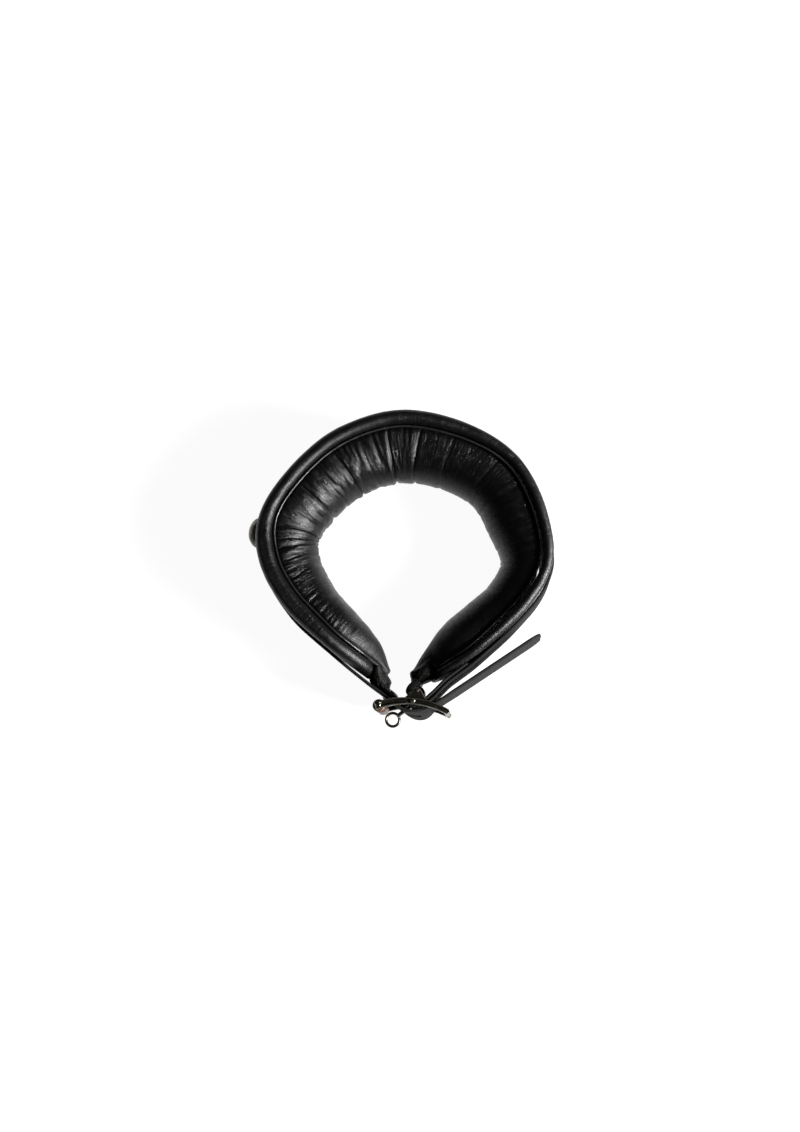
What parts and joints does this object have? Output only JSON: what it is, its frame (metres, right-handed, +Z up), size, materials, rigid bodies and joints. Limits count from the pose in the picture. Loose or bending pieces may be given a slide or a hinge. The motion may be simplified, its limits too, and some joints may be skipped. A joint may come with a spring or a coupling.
{
  "type": "padded collar",
  "caption": "Small padded leather collar shaped like a horse collar: rolled rim, gathered pad, and a belt closed by a curved roller buckle with a locking tongue.",
  "frame": {"origin": "middle of the bounding box, on the surface that the collar stands on", "axes": "+Z up through the neck opening, -Y towards the buckle, +X towards the side with the free tail of the belt"},
  "size_m": [0.1982, 0.2014, 0.064],
  "materials": {
    "band_leather": "smooth firm black leather with a low sheen",
    "rim_leather": "supple black leather rolled tight, fine wrinkles, soft gloss",
    "lining_leather": "soft black nappa, gathered, with a soft gloss on the folds",
    "belt_leather": "matt black bridle leather with dyed edges",
    "cord": "laid cotton cord",
    "wool": "packed wool flock",
    "nickel": "antique nickel plate, worn bright on the edges",
    "bronze": "antique bronze plate, worn"
  },
  "bodies": {
    "collar": {"rim_cover_upper": "rim_leather", "rim_cord_upper": "cord", "welt_upper": "rim_leather", "rim_cover_lower": "rim_leather", "rim_cord_lower": "cord", "welt_lower": "rim_leather", "pad_lining": "lining_leather", "pad_filling": "wool", "end_gather_left": "lining_leather", "end_gather_right": "lining_leather", "rivet_back_upper": "nickel", "rivet_back_lower": "nickel", "rivet_tab_upper": "nickel", "rivet_tab_lower": "nickel", "end_tab_left": "band_leather", "end_tab_right": "band_leather", "stud_dome": "nickel", "stud_bezel": "nickel", "stud_screw": "nickel", "outer_band": "band_leather", "belt_strap": "belt_leather", "buckle_frame": "nickel", "centre_bar": "nickel", "tab_pin": "nickel"},
    "buckle_roller": {"roller": "bronze"},
    "locking_tongue": {"lock_tongue": "nickel"}
  },
  "joints": [
    {"name": "tongue_swing", "type": "hinge", "parent": "collar", "child": "locking_tongue", "pos_m": [0.00986, -0.08526, 0.032], "axis": [0, 0, 1], "range_deg": [0, 70]},
    {"name": "roller_spin", "type": "hinge", "parent": "collar", "child": "buckle_roller", "pos_m": [-0.01156, -0.08763, 0.032], "axis": [0, 0, 1], "continuous": true}
  ]
}
